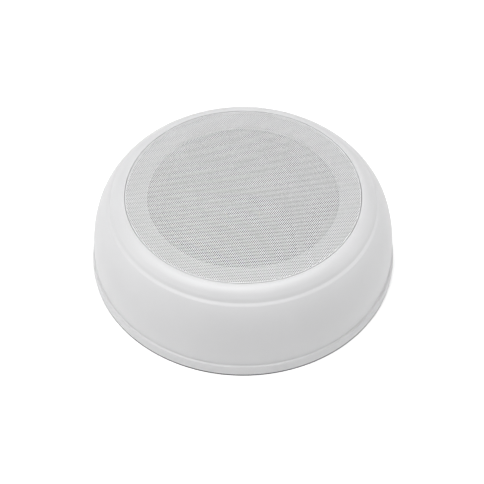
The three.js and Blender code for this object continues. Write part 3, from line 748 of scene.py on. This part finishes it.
SURROUND_LINE = [(60.4, 62.6), (62, 62.5)]  # glued over the cone's edge
SURROUND_LINE += [(63.4, 63.4), (65, 61.8), (66.8, 63.6), (68.6, 61.8)]
SURROUND_LINE += [(70.4, 62.5), (81, 62.5)]
SPIDER_WAVES = 7
SPIDER_LEVELS = (34.2, 36)
CONE_LINE = [(13.5, 40.2), (26, 44.2), (44, 51.6), (61.5, 61.4)]
WHIZZER_LINE = [(14.2, 42.4), (17, 48), (23, 53), (32, 56)]
CLOTH = 0.5  # thickness of the moulded cloth rings


def make_suspension():
    """The pleated ring at the cone's edge and the corrugated disc round its neck."""
    surround = lathe("cloth_surround", thick_line(SURROUND_LINE, CLOTH), FINE, SOFT_CREASE)
    dress(surround, "pleated_cloth", None, "surround")
    stretch_between(surround, 70.4, 62)

    line = [(13.6, 34.6)]
    for i in range(SPIDER_WAVES):
        line.append((15 + 3.5 * i, SPIDER_LEVELS[i % 2]))
    line.append((42.4, SPIDER_LEVELS[0]))
    spider = lathe("centring_spider", thick_line(line, CLOTH), MEDIUM, SOFT_CREASE)
    dress(spider, "spider_cloth", None, "spider")
    stretch_between(spider, 42, 14)


def make_cone():
    cone = lathe("paper_cone", thick_line(CONE_LINE, 1, 10), FINE, SOFT_CREASE)
    dress(cone, "cone_paper", "moving_cone", "cone")
    under = smooth_line(WHIZZER_LINE, 8)
    over = [(r - 0.35, z + 0.5) for r, z in reversed(under)]
    whizzer = lathe("whizzer", under + over, MEDIUM, SOFT_CREASE)
    dress(whizzer, "whizzer_paper", "moving_cone", "whizzer_cone")
    dome = [(12.6, 41.4), (13, 41.4), (13, 42.4, 0.4)]
    dome += bezier((12.4, 43.4), (9.5, 47.6), (0, 47.8), 12)
    dome += bezier((0, 47.3), (9.2, 47), (12.2, 42.6), 12)
    cap = lathe("dome_cap", rounded(dome), MEDIUM, SOFT_CREASE)
    dress(cap, "cone_paper", "moving_cone", "dust_cap")
    former = turned_ring("coil_former", 12.6, 13, 19.5, 41, 0.1)
    dress(former, "former_paper", "moving_cone", "voice_coil_former")
    coil = turned_ring("coil_winding", 13.2, 13.8, 20, 29, 0.2)
    dress(coil, "copper", "moving_cone", "voice_coil")


def make_magnet():
    plate = turned_ring("top_pole_plate", 14.6, 34, 22.1, 27, 0.5)
    dress(plate, "zinc_steel", "front", "pole_plate")
    magnet = turned_ring("ring_magnet", 17, 36, 10.2, 21.8, 0.9)
    dress(magnet, "ferrite", "front", "magnet")
    corners = [(0, 4.8), (31, 4.8, 0.6), (33.5, 7, 0.6), (33.5, 9.9, 0.4), (11.9, 9.9, 0.3)]
    corners += [(11.9, 26.6, 0.5), (0, 26.6)]
    dress(lathe("bottom_yoke", rounded(corners)), "zinc_steel", "front", "yoke")


def make_frame_and_fixings():
    gasket = turned_ring("foam_gasket", 73.5, 82, 63.2, 63.8, 0.15)
    dress(gasket, "black_foam", "front", "driver_gasket")
    dress(refined("driver_basket", "basket", 0.25), "black_steel", "front", "basket")
    board = refined("tag_board", "driver_terminal_board", 0.2)
    dress(board, "phenolic", "front", "driver_terminal_board")
    for i in (1, 2):
        tag = refined(f"solder_tag_{i}", f"driver_lug_{i}", 0.15)
        dress(tag, "brass", "front", f"driver_lug_{i}")
        lead = copied(f"tinsel_{i}", f"tinsel_lead_{i}")
        dress(lead, "copper", None, f"tinsel_lead_{i}")
        stretch_between(lead, 47, 34)
    for i in range(1, 5):
        clamp = refined(f"frame_clamp_{i}", f"driver_clamp_{i}", 0.25)
        dress(clamp, "zinc_steel", "front", f"driver_clamp_{i}")
        screw(f"driver_clamp_screw_{i}", "front", "zinc_steel", 3, 1.8, 1.2)


# ------------------------------------------------------------------ line parts


def make_line_parts():
    plain = [
        ("laminated_core", "transformer_core", "core_steel", 0.2),
        ("coil_bobbin", "transformer_bobbin", "black_nylon", 0.3),
        ("taped_winding", "transformer_winding", "winding_tape", 1.2),
        ("core_strap", "transformer_strap", "zinc_steel", 0.3),
        ("line_terminal", "terminal_block", "ceramic", 0.5),
        ("wire_sleeve_1", "terminal_sleeve_1", "brass", 0.2),
        ("wire_sleeve_2", "terminal_sleeve_2", "brass", 0.2),
        ("tap_switch", "selector_body", "black_nylon", 0.4),
        ("film_capacitor", "blocking_capacitor", "capacitor_case", 0.6),
        ("fuse_link", "thermal_fuse", "ceramic", 0.5),
    ]
    for name, node, slot, edge in plain:
        dress(refined(name, node, edge, 3), slot, "front", node)
    knob = refined("tap_knob", "selector_knob", 0.3)
    dress(knob, "selector_knob", "selector_knob", "selector_knob")
    for i in (1, 2):
        screw(f"transformer_screw_{i}", "front", "zinc_steel", 3, 1.8, 1.2)
    for i in range(1, 5):
        screw(f"terminal_screw_{i}", "front", "brass", 2, 1.6, 1.4, slotted=True)
    screw("block_screw", "front", "zinc_steel", 3.1, 2, 1.2)


LEADS = {
    "driver_lead_1": "red_pvc",
    "driver_lead_2": "black_pvc",
    "line_lead_1": "blue_pvc",
    "line_lead_2": "red_pvc",
    "fuse_lead": "red_pvc",
    "capacitor_lead": "black_pvc",
    "tap_lead_1": "blue_pvc",
    "tap_lead_2": "black_pvc",
}


def make_leads():
    for node, slot in LEADS.items():
        dress(softened(node + "_wire", node), slot, "front", node)


# ------------------------------------------------------------------ floor and light


NEAR_GLOW = 0.3  # light from under the sheet of paper, as on a lit product table
FAR_GLOW = 0.85  # makes up for the lamps' light falling off
GLOW_RADII = (0.36, 1.2)  # metres from GLOW_CENTRE
GLOW_CENTRE = (0, 0.06, 0)
PAPER_REFLECTANCE = 0.88
FLOOR_RADIUS = 4000
WHITE = (1, 1, 1, 1)


def make_floor():
    """A pale sheet, lit a little from below where the speaker stands."""
    shape = bmesh.new()
    revolve(shape, [(0, 0), (FLOOR_RADIUS, 0)], 64, closed=False)
    floor = new_piece("floor", shape)
    paper = bpy.data.materials.new("floor_paper")
    paper.use_nodes = True
    tree = paper.node_tree
    shader = tree.nodes["Principled BSDF"]
    shader.inputs["Base Color"].default_value = (*[PAPER_REFLECTANCE] * 3, 1)
    shader.inputs["Roughness"].default_value = 0.9
    shader.inputs["Specular IOR Level"].default_value = 0.0
    shader.inputs["Emission Color"].default_value = WHITE
    point = add(tree, "TexCoord").outputs["Object"]
    away = add(tree, "VectorMath", (0, point), (1, GLOW_CENTRE), operation="DISTANCE")
    near, far = GLOW_RADII
    links = [("Value", away.outputs["Value"]), ("From Min", near), ("From Max", far)]
    links += [("To Min", NEAR_GLOW), ("To Max", FAR_GLOW)]
    glow = add(tree, "MapRange", *links, interpolation_type="SMOOTHSTEP").outputs[0]
    tree.links.new(glow, shader.inputs["Emission Strength"])
    floor.data.materials.append(paper)


# The studio's round soft lights: place in metres, size in metres, power in watts.
LIGHTS = {
    "overhead": ((0, -0.05, 1.4), 1.3, 17.2),
    "key": ((-0.6, -0.3, 1.2), 0.7, 5.2),
    "left_fill": ((-1.3, 0, 0.7), 0.9, 2),
    "right_fill": ((1.3, 0.1, 0.7), 0.9, 3.3),
}
WALLS = (0.15, 0.75)  # brightness of the room at floor level, in front and behind
WALL_HEIGHT = 0.3  # sine of the angle at which the walls have faded to CEILING
CEILING = 0.05


def set_light():
    world = bpy.data.worlds.new("studio")
    world.use_nodes = True
    tree = world.node_tree
    heading = add(tree, "TexCoord").outputs["Generated"]
    axis = add(tree, "SeparateXYZ", (0, heading))
    front, back = WALLS
    links = [("Value", axis.outputs[1]), ("From Min", -1), ("To Min", front), ("To Max", back)]
    wall = add(tree, "MapRange", *links).outputs[0]
    links = [("Value", axis.outputs[2]), ("From Max", WALL_HEIGHT)]
    links += [("To Min", wall), ("To Max", CEILING)]
    fade = add(tree, "MapRange", *links, interpolation_type="SMOOTHSTEP").outputs[0]
    tree.links.new(fade, tree.nodes["Background"].inputs["Strength"])
    tree.nodes["Background"].inputs["Color"].default_value = WHITE
    bpy.context.scene.world = world
    for name, (place, size, power) in LIGHTS.items():
        data = bpy.data.lights.new(name, "AREA")
        data.shape = "DISK"
        data.size = size
        data.energy = power
        light = bpy.data.objects.new(name, data)
        light.location = place
        light.rotation_euler = (-Vector(place)).to_track_quat("-Z", "Y").to_euler()
        bpy.context.scene.collection.objects.link(light)
    bpy.context.scene.view_settings.view_transform = "Standard"


# ------------------------------------------------------------------ scene

set_camera()
make_finishes()
make_housing()
make_grille()
make_ceiling_side()
make_suspension()
make_cone()
make_magnet()
make_frame_and_fixings()
make_line_parts()
make_leads()
make_floor()
set_light()
